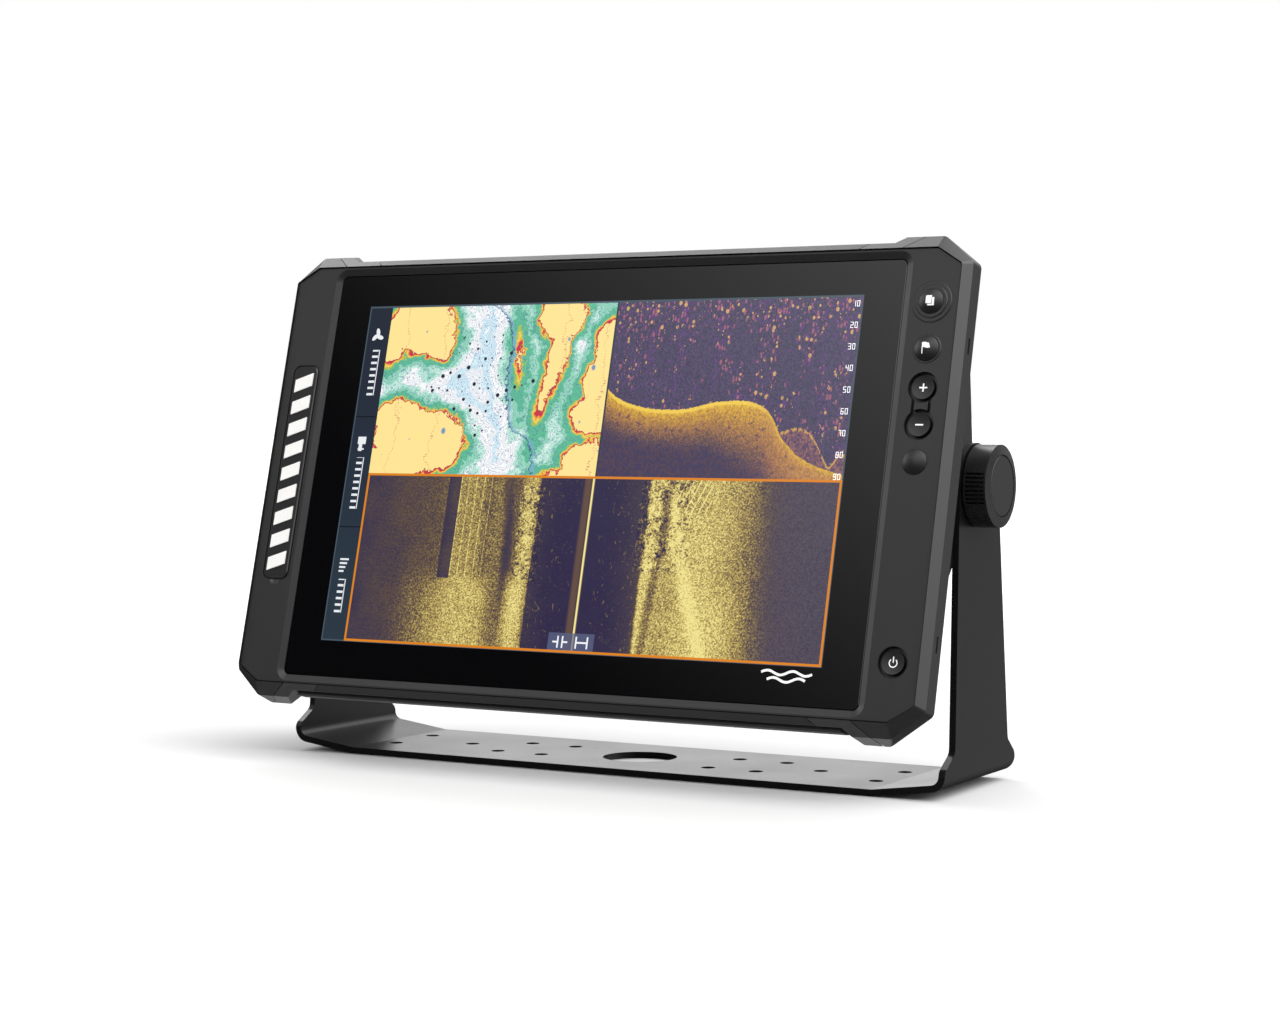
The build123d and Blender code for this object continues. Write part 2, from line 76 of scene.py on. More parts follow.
class Value:
    """A number in a shader tree: Python arithmetic on it adds math nodes."""

    def __init__(self, graph, socket):
        self.graph = graph
        self.socket = socket

    def apply(self, operation, *others):
        node = self.graph.tree.nodes.new("ShaderNodeMath")
        node.operation = operation
        for index, item in enumerate((self, *others)):
            self.graph.feed(node.inputs[index], item)
        return Value(self.graph, node.outputs[0])

    def __add__(self, other):
        return self.apply("ADD", other)

    def __sub__(self, other):
        return self.apply("SUBTRACT", other)

    def __rsub__(self, other):
        return (self * -1.0) + other

    def __mul__(self, other):
        return self.apply("MULTIPLY", other)

    def __truediv__(self, other):
        return self.apply("DIVIDE", other)

    def __lt__(self, other):
        return self.apply("LESS_THAN", other)

    def __gt__(self, other):
        return self.apply("GREATER_THAN", other)

    def __abs__(self):
        return self.apply("ABSOLUTE")

    def low(self, other):
        return self.apply("MINIMUM", other)

    def high(self, other):
        return self.apply("MAXIMUM", other)


class Graph:
    """Node tree of one new material, or of the world."""

    def __init__(self, name, owner=None):
        self.material = owner or bpy.data.materials.new(name)
        self.material.use_nodes = True
        self.tree = self.material.node_tree
        self.tree.nodes.clear()
        if owner is None:
            output = self.tree.nodes.new("ShaderNodeOutputMaterial")
            self.shader = self.tree.nodes.new("ShaderNodeBsdfPrincipled")
            self.tree.links.new(self.shader.outputs[0], output.inputs["Surface"])

    def feed(self, socket, item):
        if isinstance(item, Value):
            self.tree.links.new(item.socket, socket)
        elif isinstance(item, bpy.types.NodeSocket):
            self.tree.links.new(item, socket)
        else:
            socket.default_value = item

    def node(self, kind, **inputs):
        made = self.tree.nodes.new(kind)
        for name, item in inputs.items():
            self.feed(made.inputs[name.replace("_", " ")], item)
        return made

    def set(self, **inputs):
        for name, item in inputs.items():
            self.feed(self.shader.inputs[name.replace("_", " ")], item)

    def place(self):
        """Object position in metres; a CAD node's object stays at the origin of its body."""
        return self.node("ShaderNodeTexCoord").outputs["Object"]

    def split(self, vector):
        made = self.tree.nodes.new("ShaderNodeSeparateXYZ")
        self.feed(made.inputs[0], vector)
        return [Value(self, socket) for socket in made.outputs]

    def join(self, x, y, z=0.0):
        made = self.tree.nodes.new("ShaderNodeCombineXYZ")
        for socket, item in zip(made.inputs, (x, y, z)):
            self.feed(socket, item)
        return made.outputs[0]

    def noise(self, vector, scale, detail=2.0, roughness=0.5, distortion=0.0):
        made = self.node("ShaderNodeTexNoise", Vector=vector, Scale=scale, Detail=detail,
                         Roughness=roughness, Distortion=distortion)
        return Value(self, made.outputs["Fac"])

    def grains(self, u, v, width, height, shift=0.0):
        """Even random value per small rectangle of the screen."""
        cell = self.join((u / width).apply("FLOOR"), (v / height).apply("FLOOR"), shift)
        made = self.node("ShaderNodeTexWhiteNoise", Vector=cell)
        return Value(self, made.outputs["Value"])

    def spots(self, u, v, width, height, reach, shift=0.0):
        """1 in scattered oval spots of random size, about one per width x height."""
        made = self.tree.nodes.new("ShaderNodeTexVoronoi")
        made.voronoi_dimensions = "2D"
        self.feed(made.inputs["Vector"], self.join(u / width + shift, v / height))
        made.inputs["Scale"].default_value = 1.0
        size = self.split(made.outputs["Color"])[0]
        distance = Value(self, made.outputs["Distance"])
        return self.smooth(size * size * reach - distance, -0.02, 0.04)

    def smooth(self, value, start, end):
        """0 before start and 1 after end; the other way round when start is above end."""
        made = self.tree.nodes.new("ShaderNodeMapRange")
        made.interpolation_type = "SMOOTHSTEP"
        for name, item in (("Value", value), ("From Min", start), ("From Max", end)):
            self.feed(made.inputs[name], item)
        return Value(self, made.outputs["Result"])

    def curve(self, value, points):
        """Smooth curve through (x, y) points."""
        low_x, high_x = points[0][0], points[-1][0]
        heights = [y for _, y in points]
        low_y, high_y = min(heights), max(heights)
        made = self.tree.nodes.new("ShaderNodeFloatCurve")
        line = made.mapping.curves[0]
        while len(line.points) < len(points):
            line.points.new(0.5, 0.5)
        for point, (x, y) in zip(line.points, points):
            point.location = ((x - low_x) / (high_x - low_x), (y - low_y) / (high_y - low_y))
        made.mapping.update()
        self.feed(made.inputs["Value"], (value - low_x) / (high_x - low_x))
        return Value(self, made.outputs[0]) * (high_y - low_y) + low_y

    def ramp(self, value, stops, mode="LINEAR"):
        made = self.tree.nodes.new("ShaderNodeValToRGB")
        made.color_ramp.interpolation = mode
        while len(made.color_ramp.elements) < len(stops):
            made.color_ramp.elements.new(1.0)
        for element, (position, colour) in zip(made.color_ramp.elements, stops):
            element.position = position
            element.color = colour
        self.feed(made.inputs[0], value)
        return made.outputs[0]

    def mix(self, share, first, second):
        made = self.tree.nodes.new("ShaderNodeMix")
        made.data_type = "RGBA"
        for index, item in ((0, share), (6, first), (7, second)):
            self.feed(made.inputs[index], item)
        return made.outputs[2]

    def bump(self, height, strength, distance):
        made = self.node("ShaderNodeBump", Height=height, Strength=strength, Distance=distance)
        self.feed(self.shader.inputs["Normal"], made.outputs[0])


def moulded(name, colour, roughness, grain=0.25, grain_scale=1400.0, mottle=0.12, specular=0.5):
    """Fine-grained moulded or coated surface with slight tone and gloss variation."""
    graph = Graph(name)
    place = graph.place()
    fine = graph.noise(place, grain_scale, 3.0, 0.6)
    broad = graph.noise(place, 22.0, 4.0, 0.55)
    tone = (broad - 0.5) * mottle
    light = tuple(c * 1.35 for c in colour[:3]) + (1.0,)
    dark = tuple(c * 0.7 for c in colour[:3]) + (1.0,)
    graph.set(Base_Color=graph.mix(tone + fine * 0.3 + 0.35, dark, light))
    graph.set(Roughness=(broad - 0.5) * 0.12 + (fine - 0.5) * 0.08 + roughness)
    graph.shader.inputs["Specular IOR Level"].default_value = specular
    graph.bump(fine, grain, 0.00012)
    return graph.material


def metal(name, colour, roughness, scratch=0.2):
    """Brushed or turned metal with fine scratches."""
    graph = Graph(name)
    place = graph.place()
    stretch = graph.node("ShaderNodeMapping", Vector=place)
    stretch.inputs["Scale"].default_value = (0.12, 1.0, 1.0)
    lines = graph.noise(stretch.outputs[0], 1800.0, 3.0, 0.6)
    blotch = graph.noise(place, 60.0, 3.0)
    dark = tuple(c * 0.8 for c in colour[:3]) + (1.0,)
    graph.set(Base_Color=graph.mix(lines * 0.6 + blotch * 0.3, dark, colour))
    graph.set(Roughness=lines * 0.15 + (blotch * 0.1 + roughness - 0.12))
    graph.shader.inputs["Metallic"].default_value = 1.0
    graph.bump(lines, scratch, 0.00005)
    return graph.material


# ---------------------------------------------------------------- lit screen picture

def rectangle(u, v, left, right, bottom, top):
    """1 inside a rectangle of the screen, 0 outside."""
    return (u > left) * (u < right) * (v > bottom) * (v < top)


def blob(graph, u, v, centre, radii, turn=0.0):
    """Rough distance in millimetres outside an ellipse, negative inside it."""
    angle = math.radians(turn)
    du, dv = u - centre[0], v - centre[1]
    along = (du * math.cos(angle) + dv * math.sin(angle)) / radii[0]
    across = (dv * math.cos(angle) - du * math.sin(angle)) / radii[1]
    reach = (along * along + across * across).apply("SQRT")
    return (reach - 1.0) * min(radii)


LAND = (
    ((-99, 63), (19, 13), 0), ((-87, 57), (8.5, 11), 0), ((-114, 57), (7, 12), 0),
    ((-92, 7), (25, 15), -8), ((-105, 16), (13, 11), 0), ((-106, -5), (18, 10), 0), ((-80, 7), (13, 13), 0),
    ((-21, 67), (12, 12), 0), ((-20.5, 48), (4.6, 18), -12), ((-25.5, 31), (2.2, 10), -8),
    ((9, 50), (10, 14), 0), ((6, 33), (11, 12), 0), ((4, 19), (13, 9), 0), ((2, -3), (13, 9), 0),
    ((-6, -10), (15, 5), 8), ((-41.4, 46), (1.0, 5), 8),
)


def chart_picture(graph, u, v):
    """Sea chart: land, shoreline, depth bands and contour lines."""
    flat = graph.join(u, v)
    wide = graph.noise(flat, 0.11, 3.0, 0.6) - 0.5
    small = graph.noise(flat, 0.42, 4.0, 0.62) - 0.5
    shifted_u = u + wide * 9.0 + small * 6.5
    side = graph.noise(graph.join(v, u, 7.0), 0.13, 3.0, 0.6) - 0.5
    shifted_v = v + side * 9.0 + small * 4.5
    shore = None
    for centre, radii, turn in LAND:
        distance = blob(graph, shifted_u, shifted_v, centre, radii, turn)
        shore = distance if shore is None else shore.low(distance)
    spread = graph.noise(graph.join(u, v, 3.0), 0.085, 2.0) * 1.9 + 0.15
    depth = (shore / spread + small * 1.6) / 20.0
    bands = [
        (0.0, (255, 229, 150)), (0.003, (205, 52, 78)), (0.028, (233, 150, 60)), (0.045, (243, 205, 92)),
        (0.065, (170, 190, 90)), (0.085, (95, 190, 150)), (0.19, (150, 216, 190)), (0.27, (196, 238, 222)),
        (0.34, (250, 252, 253)), (0.56, (214, 240, 250)), (0.80, (246, 250, 253)),
    ]
    water = graph.ramp(depth, [(place, linear(*tone)) for place, tone in bands], "CONSTANT")
    warp = graph.noise(graph.join(u, v, 11.0), 0.06, 4.0, 0.55)
    contour = (warp * 24.0 + depth * 9.0).apply("FRACT")
    line = graph.smooth(abs(contour - 0.5), 0.17, 0.07) * (depth > 0.1)
    picture = graph.mix(line * 0.6, water, linear(96, 112, 160))
    edge = graph.smooth(abs(depth - 0.002), 0.006, 0.002)
    picture = graph.mix(edge * 0.8, picture, linear(120, 40, 60))
    channel = graph.curve(v, [(-10, -26), (6, -29), (14, -41), (25, -44), (40, -46), (52, -45), (72, -58)])
    bank = graph.smooth(abs(u - channel + small * 7.0), 1.3, 0.5) * (depth > 0.03)
    picture = graph.mix(bank * 0.8, picture, linear(120, 176, 200))
    core = graph.smooth(abs(u - channel + small * 7.0 + 0.9), 0.45, 0.2) * (depth > 0.03)
    picture = graph.mix(core * 0.9, picture, linear(58, 66, 110))
    crowd = graph.smooth(abs(u + 62.0) + abs(v - 36.0), 40.0, 26.0)
    marks = graph.spots(u, v, 4.6, 4.6, 0.24) * (crowd > 0.5) * (depth > 0.08)
    picture = graph.mix(marks, picture, linear(36, 42, 58))
    lake = graph.spots(u, v, 13.0, 17.0, 0.10, 4.0) * (depth < 0.0)
    picture = graph.mix(lake, picture, linear(120, 150, 190))
    roads = (abs((u * 0.045 + wide * 0.7 + 0.3).apply("FRACT") - 0.5) < 0.011) * (depth < 0.0)
    dashes = (v * 0.8).apply("FRACT") < 0.6
    return graph.mix(roads * dashes * 0.75, picture, linear(205, 140, 110))


# Bottom profile under the boat, across and up: a flat shelf, a low rise and then a drop-off.
SEABED = ((8, 32), (24, 24), (45, 22), (70, 26), (84, 25), (100, 8), (112, -1), (131, -7))
WEED_MOUNDS = ((110.0, 16.0, 13.0), (129.0, 7.0, 9.0))   # middle, reach and height above the bottom


def down_scan_picture(graph, u, v):
    """Down-looking sonar: speckled water over a golden bottom return."""
    flat = graph.join(u, v)
    grain = graph.grains(u, v, 0.42, 0.6)
    dust = graph.grains(u, v, 0.7, 1.0, 5.0)
    water = graph.mix(grain, linear(64, 58, 86), linear(88, 82, 108))
    columns = graph.smooth(graph.noise(graph.join(u, 0.0, 2.0), 0.30, 2.0, 0.6), 0.54, 0.62)
    clouds = graph.noise(graph.join(u, v * 0.35, 8.0), 0.16, 3.0, 0.6)
    crowd = graph.smooth(clouds, 0.44, 0.60) * 0.7 + graph.smooth(v, 50.0, 68.0) * 0.45
    trail = graph.smooth(dust + columns * 0.16 + crowd * 0.12, 0.93, 1.0)
    water = graph.mix(trail * 0.65, water, linear(112, 66, 140))
    rosy = graph.spots(u, v, 1.5, 3.2, 0.46) * graph.smooth(crowd + dust * 0.5, 0.50, 0.85)
    water = graph.mix(rosy * 0.6, water, linear(190, 110, 130))
    gold = graph.spots(u, v, 2.7, 3.4, 0.34, 3.0) * graph.smooth(crowd + grain * 0.4, 0.60, 0.90)
    water = graph.mix(gold * 0.75, water, linear(232, 184, 112))
    ripple = (graph.noise(flat, 0.8, 4.0, 0.7) - 0.5) * 2.2
    bed = graph.curve(u, SEABED) + ripple
    under = bed - v
    thick = graph.curve(u, [(8, 19), (30, 17), (60, 21), (90, 32), (110, 32), (131, 18)])
    share = (under / thick) + (grain - 0.5) * 0.34 + ripple * 0.03
    bottom = graph.ramp(share, [
        (0.0, linear(232, 186, 66)), (0.16, linear(214, 166, 62)), (0.42, linear(176, 126, 78)),
        (0.75, linear(112, 86, 84)), (1.0, linear(68, 60, 90))])
    dull = graph.smooth(u, 78.0, 100.0)
    bottom = graph.mix(dull * 0.8 * graph.smooth(under, -1.0, 4.0), bottom,
                       graph.ramp(share, [(0.0, linear(196, 140, 90)), (0.5, linear(158, 110, 88)),
                                          (1.0, linear(80, 68, 94))]))
    bottom = graph.mix((dust > 0.62) * 0.30, bottom, linear(110, 76, 58))
    crest = graph.smooth(abs(under - 0.9), 1.6, 0.4) * (1.0 - dull)
    bottom = graph.mix(crest * 0.75, bottom, linear(250, 214, 88))
    holes = graph.smooth(graph.noise(flat, 0.35, 3.0), 0.60, 0.64) * graph.smooth(under, 3.0, 6.0)
    bottom = graph.mix(holes * 0.7, bottom, linear(84, 66, 90))
    weed_height = bed + ripple * 0.2
    for middle, reach, height in WEED_MOUNDS:
        weed_height = weed_height + graph.smooth(abs(u - middle), reach, 1.0) * height
    rise = weed_height - v
    weed = graph.smooth(rise, 0.0, 0.5) * (u > 88.0) * (v > bed)
    rim = graph.smooth(abs(rise - 0.8), 1.2, 0.3)
    weed_tone = graph.mix(dust, linear(80, 66, 98), linear(150, 106, 104))
    weed_tone = graph.mix(rim * graph.smooth(dust, 0.1, 0.5), weed_tone, linear(206, 158, 88))
    picture = graph.mix(weed, water, weed_tone)
    return graph.mix(graph.smooth(under, 0.0, 0.25), picture, bottom)


SCAN_MIDDLE = 7.4    # across, of the boat's track in the side-looking picture
PANEL_SIGNS = (   # left, right, bottom and top of the bars of the two small panel signs
    (-0.9, -0.1, -87.6, -82.2), (1.5, 2.3, -87.6, -82.2), (-3.2, -0.9, -85.3, -84.5),
    (2.3, 4.6, -85.3, -84.5), (8.6, 9.4, -87.6, -82.2), (14.4, 15.2, -87.6, -82.2),
    (9.4, 14.4, -85.3, -84.5),
)


def side_scan_picture(graph, u, v):
    """Side-looking sonar: sand on both sides of a dark water column."""
    flat = graph.join(u, v)
    sway = graph.noise(graph.join(v, 0.0, 4.0), 0.16, 3.0) - 0.5
    x = u + sway * 2.4
    fine = graph.grains(u, v, 0.55, 0.55)
    coarse = graph.noise(flat, 1.1, 3.0, 0.8) - 0.5
    rows = graph.noise(graph.join(u * 0.12, v * 1.6), 0.8, 3.0, 0.7) - 0.5
    drift = graph.noise(flat, 0.05, 3.0, 0.6) - 0.5
    upper = graph.curve(x, [
        (-117, 0.13), (-100, 0.19), (-84, 0.24), (-71, 0.30), (-64, 0.62), (-50, 0.56), (-46, 0.42),
        (-38, 0.42), (-34, 0.30), (-29, 0.46), (-24.5, 0.70), (-22, 0.66), (-20, 0.12)])
    lower = graph.curve(x, [
        (-117, 0.12), (-100, 0.18), (-84, 0.36), (-70, 0.58), (-58, 0.70), (-46, 0.66), (-40, 0.46),
        (-36, 0.40), (-33, 0.62), (-28, 0.82), (-22, 0.62), (-20, 0.12)])
    left = upper + (lower - upper) * graph.smooth(v, -50.0, -68.0)
    right = graph.curve(x, [
        (-20, 0.10), (-8, 0.05), (4, 0.04), (20, 0.06), (33, 0.12), (37, 0.22), (38.6, 0.78), (44, 0.70),
        (50, 0.62), (62, 0.74), (76, 0.66), (88, 0.46), (100, 0.24), (112, 0.15), (131, 0.14)])
    level = left * (x < -20.0) + right * (x > -20.0)
    wide_shade = graph.smooth(v, -40.0, -88.0) * graph.smooth(abs(u - 84.0), 26.0, 4.0)
    level = level + wide_shade * 0.12
    shelf = rectangle(u, v, -70.5, -63.8, -58.0, 0.0)
    level = level * (1.0 - shelf * 0.72)
    ribs = graph.smooth(abs(((u + 63.6) / 4.2).apply("FRACT") - 0.5), 0.40, 0.5)
    level = level + (ribs * 0.3 - 0.08) * rectangle(u, v, -63.8, -45.0, -57.0, 0.0)
    shade = graph.curve(v, [(-90, 41.5), (-60, 44.0), (-28, 46.5), (-9, 46.8)])
    level = level - graph.smooth(abs(x - shade), 3.4, 0.5) * 0.3
    left_shade = graph.curve(v, [(-90, -31.0), (-60, -33.0), (-9, -38.0)])
    level = level - graph.smooth(abs(x - left_shade), 4.0, 0.8) * 0.16
    ridge = graph.curve(v, [(-90, 72.0), (-60, 61.0), (-28, 51.5), (-9, 49.5)])
    level = level + graph.smooth(abs(x - ridge), 6.0, 1.0) * 0.20
    share = graph.smooth(level, 0.10, 0.45)
    level = level + (fine - 0.5) * (share * 0.34 + 0.07) + coarse * (share * 0.9 + 0.18)
    level = level + rows * 0.14 + drift * 0.22
    column = (x > -20.0) * (x < 36.0) * (abs(u - SCAN_MIDDLE) > 6.0)
    drifting = graph.noise(graph.join(u * 1.4, v * 0.8), 0.42, 4.0, 0.7, 1.4)
    level = level + graph.smooth(drifting, 0.60, 0.66) * column * 0.34
    debris = graph.noise(graph.join(u, v, 6.0), 0.4, 4.0, 0.7, 1.0)
    strewn = rectangle(u, v, 33.0, 60.0, -52.0, -8.0).high(rectangle(u, v, -30.0, -17.0, -58.0, -14.0))
    mottle = graph.smooth(debris, 0.56, 0.60) * 0.35 - graph.smooth(debris, 0.46, 0.42) * 0.4
    level = level + mottle * strewn
    posts = graph.smooth(abs((((u - 50.0) * 0.9 - v * 0.42) / 3.1).apply("FRACT") - 0.5), 0.36, 0.46)
    yard = rectangle(u + v * 0.25, v, 46.0, 64.0, -25.0, 0.0)
    level = level + posts * yard * 0.35 - yard * 0.1
    picture = graph.ramp(level, [
        (0.0, linear(48, 42, 70)), (0.12, linear(66, 58, 76)), (0.30, linear(98, 80, 66)),
        (0.50, linear(146, 124, 78)), (0.72, linear(200, 178, 100)), (0.92, linear(242, 228, 146))])
    calm = graph.smooth(u, 88.0, 108.0)
    picture = graph.mix(calm * 0.7, picture, graph.mix(fine, linear(70, 62, 82), linear(92, 84, 98)))
    deep = graph.smooth(abs(u - SCAN_MIDDLE), 28.0, 12.0)
    picture = graph.mix(deep * (1.0 - graph.smooth(drifting, 0.60, 0.66)) * 0.7, picture, linear(46, 40, 74))
    halo = graph.smooth(abs(u - 4.6), 2.6, 0.8)
    picture = graph.mix(halo * 0.6, picture, linear(120, 92, 62))
    beam = graph.smooth(abs(u - SCAN_MIDDLE), 0.8, 0.4) * (1.0 - graph.smooth(abs(u - 7.9), 0.3, 0.1) * 0.7)
    picture = graph.mix(beam, picture, linear(250, 232, 150))
    panel = rectangle(u, v, -5.6, 18.2, -89.0, -80.8)
    picture = graph.mix(panel * 0.8, picture, linear(88, 96, 128))
    signs = None
    for sign_left, sign_right, low, high in PANEL_SIGNS:
        bar = rectangle(u, v, sign_left, sign_right, low, high)
        signs = bar if signs is None else signs.high(bar)
    return graph.mix(signs, picture, linear(246, 248, 252))


def sidebar_picture(graph, u, v):
    """Slate column of controls with two thin dividers."""
    picture = graph.mix(graph.smooth(v, -90.0, 73.0), linear(43, 56, 68), linear(36, 42, 56))
    for height in (18.5, -35.3):
        picture = graph.mix(abs(v - height) < 0.28, picture, linear(20, 26, 34))
    signs = None
    for petal in range(3):
        angle = math.radians(90 + 120 * petal)
        centre = (-124.0 + 1.7 * math.cos(angle), 58.6 + 1.7 * math.sin(angle))
        shape = blob(graph, u, v, centre, (2.0, 1.05), 90 + 120 * petal + 14) < 0.0
        signs = shape if signs is None else signs.high(shape)
    mark_bars = ((-126.4, -121.8, 5.0, 8.6), (-125.6, -123.6, 1.6, 5.4), (-126.0, -122.4, 2.2, 3.0))
    for left, right, low, high in mark_bars:
        signs = signs.high(rectangle(u, v, left, right, low, high))
    for step in range(4):
        height = -51.0 - step * 1.9
        signs = signs.high(rectangle(u, v, -126.4, -121.4 - 0.7 * step, height - 0.45, height + 0.45))
    for top, bottom in ((51.5, 29.0), (-1.5, -26.5), (-60.5, -76.5)):
        gauge = rectangle(u, v, -125.6, -122.2, bottom, top) * (((v - bottom) / 3.1).apply("FRACT") < 0.36)
        track = rectangle(u, v, -121.9, -121.4, bottom, top)
        signs = signs.high(gauge).high(track)
    return graph.mix(signs, picture, linear(236, 240, 244))


def screen_material():
    """Cover glass: black and glossy, with the lit picture shining through its active area."""
    graph = Graph("screen_glass")
    turn = graph.node("ShaderNodeVectorRotate", Vector=graph.place(), Center=PIVOT * MM, Angle=TILT)
    turn.rotation_type = "X_AXIS"
    across, _, up = graph.split(turn.outputs[0])
    u = across * 1000.0
    v = up * 1000.0 - PIVOT.z
    left, right, bottom, top = PICTURE
    picture = sidebar_picture(graph, u, v)
    upper = v > PANEL_SPLIT_V
    chart = rectangle(u, v, SIDEBAR_RIGHT, PANEL_SPLIT_U, PANEL_SPLIT_V, top)
    picture = graph.mix(chart, picture, chart_picture(graph, u, v))
    sonar = rectangle(u, v, PANEL_SPLIT_U, right, PANEL_SPLIT_V, top)
    picture = graph.mix(sonar, picture, down_scan_picture(graph, u, v))
    below = (1.0 - upper) * (u > SIDEBAR_RIGHT)
    picture = graph.mix(below, picture, side_scan_picture(graph, u, v))
    picture = graph.mix((abs(u - PANEL_SPLIT_U) < 0.45) * upper, picture, linear(52, 62, 74))
    border = 1.0 - rectangle(u, v, left + 0.7, right - 0.7, bottom + 0.7, top - 0.9)
    picture = graph.mix(border, picture, linear(70, 86, 98))
    outer = rectangle(u, v, SIDEBAR_RIGHT, right - 0.4, bottom + 0.3, PANEL_SPLIT_V + 0.45)
    inner = rectangle(u, v, SIDEBAR_RIGHT + 1.1, right - 1.5, bottom + 1.4, PANEL_SPLIT_V - 0.65)
    picture = graph.mix(outer * (1.0 - inner), picture, linear(222, 132, 32))
    inside = rectangle(u, v, left, right, bottom, top)
    pixels = graph.noise(graph.join(u, v), 5.0, 1.0) * 0.06 + 0.97
    graph.set(Emission_Color=graph.mix(inside, (0.0, 0.0, 0.0, 1.0), picture))
    graph.set(Emission_Strength=inside * pixels)
    smear = graph.noise(graph.place(), 18.0, 4.0, 0.6)
    graph.set(Base_Color=(0.0012, 0.0012, 0.0016, 1.0))
    graph.set(Roughness=smear * 0.03 + 0.03)
    graph.shader.inputs["IOR"].default_value = 1.5
    return graph.material


# ---------------------------------------------------------------- studio

LOBES = (   # azimuth from the front towards +X, elevation, level, full and zero angle, all in degrees
    (-8, 50, 2.1, 15, 38),
    (85, 45, 4.5, 15, 55),
    (-127, 44, 4.9, 7, 26),
    (-151, 5, 1.7, 5, 17),
    (162, -6, 0.2, 12, 36),
    (-79, 23, 2.8, 8, 24),
    (-55, -62, 0.42, 15, 50),
    (-140, -52, 1.0, 12, 36),
    (120, -15, 0.45, 15, 36),
    (178, 48, 1.2, 20, 50),
)
BASE_LEVEL = 0.03


def studio_world():
    """Dark studio with soft lights around the object; the camera itself sees plain white."""
    world = bpy.data.worlds.new("studio")
    bpy.context.scene.world = world
    graph = Graph("studio", world)
    direction = graph.node("ShaderNodeTexCoord").outputs["Generated"]
    level = None
    for azimuth, elevation, strength, full, zero in LOBES:
        turn, rise = math.radians(azimuth), math.radians(elevation)
        middle = (math.sin(turn) * math.cos(rise), -math.cos(turn) * math.cos(rise), math.sin(rise))
        product = graph.tree.nodes.new("ShaderNodeVectorMath")
        product.operation = "DOT_PRODUCT"
        graph.feed(product.inputs[0], direction)
        graph.feed(product.inputs[1], middle)
        angle = Value(graph, product.outputs["Value"]).apply("ARCCOSINE")
        lobe = graph.smooth(angle, math.radians(zero), math.radians(full)) * strength
        level = lobe + BASE_LEVEL if level is None else level + lobe
    lit = graph.node("ShaderNodeBackground", Color=(1.0, 1.0, 1.0, 1.0), Strength=level)
    seen = graph.node("ShaderNodeBackground", Color=(1.0, 1.0, 1.0, 1.0), Strength=1.0)
    choose = graph.tree.nodes.new("ShaderNodeMixShader")
    path = graph.tree.nodes.new("ShaderNodeLightPath")
    for index, socket in enumerate((path.outputs["Is Camera Ray"], lit.outputs[0], seen.outputs[0])):
        graph.tree.links.new(socket, choose.inputs[index])
    output = graph.tree.nodes.new("ShaderNodeOutputWorld")
    graph.tree.links.new(choose.outputs[0], output.inputs["Surface"])


def paper(name, inner, outer):
    """Flat ring of white floor between two radii."""
    mesh = bpy.data.meshes.new(name)
    shape = bmesh.new()
    count = 96
    rings = []
    for radius in (inner, outer):
        angles = [2 * math.pi * i / count for i in range(count)]
        rings.append([shape.verts.new((radius * math.cos(a), radius * math.sin(a), 0)) for a in angles])
    for i in range(count):
        j = (i + 1) % count
        shape.faces.new((rings[0][i], rings[1][i], rings[1][j], rings[0][j]))
    shape.to_mesh(mesh)
    shape.free()
    sheet = bpy.data.objects.new(name, mesh)
    sheet.location.z = -0.0001
    bpy.context.scene.collection.objects.link(sheet)
    return sheet


def floor():
    """White paper floor with painted shade: its colour is darker near the object and gets lighter away from
    it.
    """
    graph = Graph("floor_paper")
    x, y, _ = graph.split(graph.place())
    reach = (x * x + y * y).apply("SQRT")
    # Painted shade around the object: the floor colour goes from 0.58 near it to 0.66 far away.
    painted_shade_falloff = graph.smooth(reach, 0.2, 0.9)
    graph.set(Base_Color=graph.mix(painted_shade_falloff, (0.58, 0.58, 0.58, 1.0), (0.66, 0.66, 0.66, 1.0)), Roughness=0.8)
    graph.shader.inputs["Specular IOR Level"].default_value = 0.0
    sheet = paper("floor", 0.0005, 40.0)
    sheet.visible_glossy = False
    sheet.data.materials.append(graph.material)


CAMERA_LENS = 71.36    # focal length, with a sensor 36 mm wide
CAMERA_AZIMUTH = math.radians(29.86)
CAMERA_ELEVATION = math.radians(2.30)
CAMERA_PLACE = (0.59277, -1.03251, 0.16653)


def camera():
    """Camera that sees the object as it was photographed."""
    data = bpy.data.cameras.new("camera")
    data.lens = CAMERA_LENS
    data.sensor_width = 36.0
    eye = bpy.data.objects.new("camera", data)
    eye.location = CAMERA_PLACE
    look = Vector((-math.sin(CAMERA_AZIMUTH) * math.cos(CAMERA_ELEVATION),
                   math.cos(CAMERA_AZIMUTH) * math.cos(CAMERA_ELEVATION),
                   -math.sin(CAMERA_ELEVATION)))
    eye.rotation_euler = look.to_track_quat("-Z", "Y").to_euler()
    bpy.context.scene.collection.objects.link(eye)
    bpy.context.scene.camera = eye


# ---------------------------------------------------------------- finishes of the CAD nodes

def paint(names, material):
    for name in names:
        slots = nodes[name].data.materials
        slots.clear()
        slots.append(material)


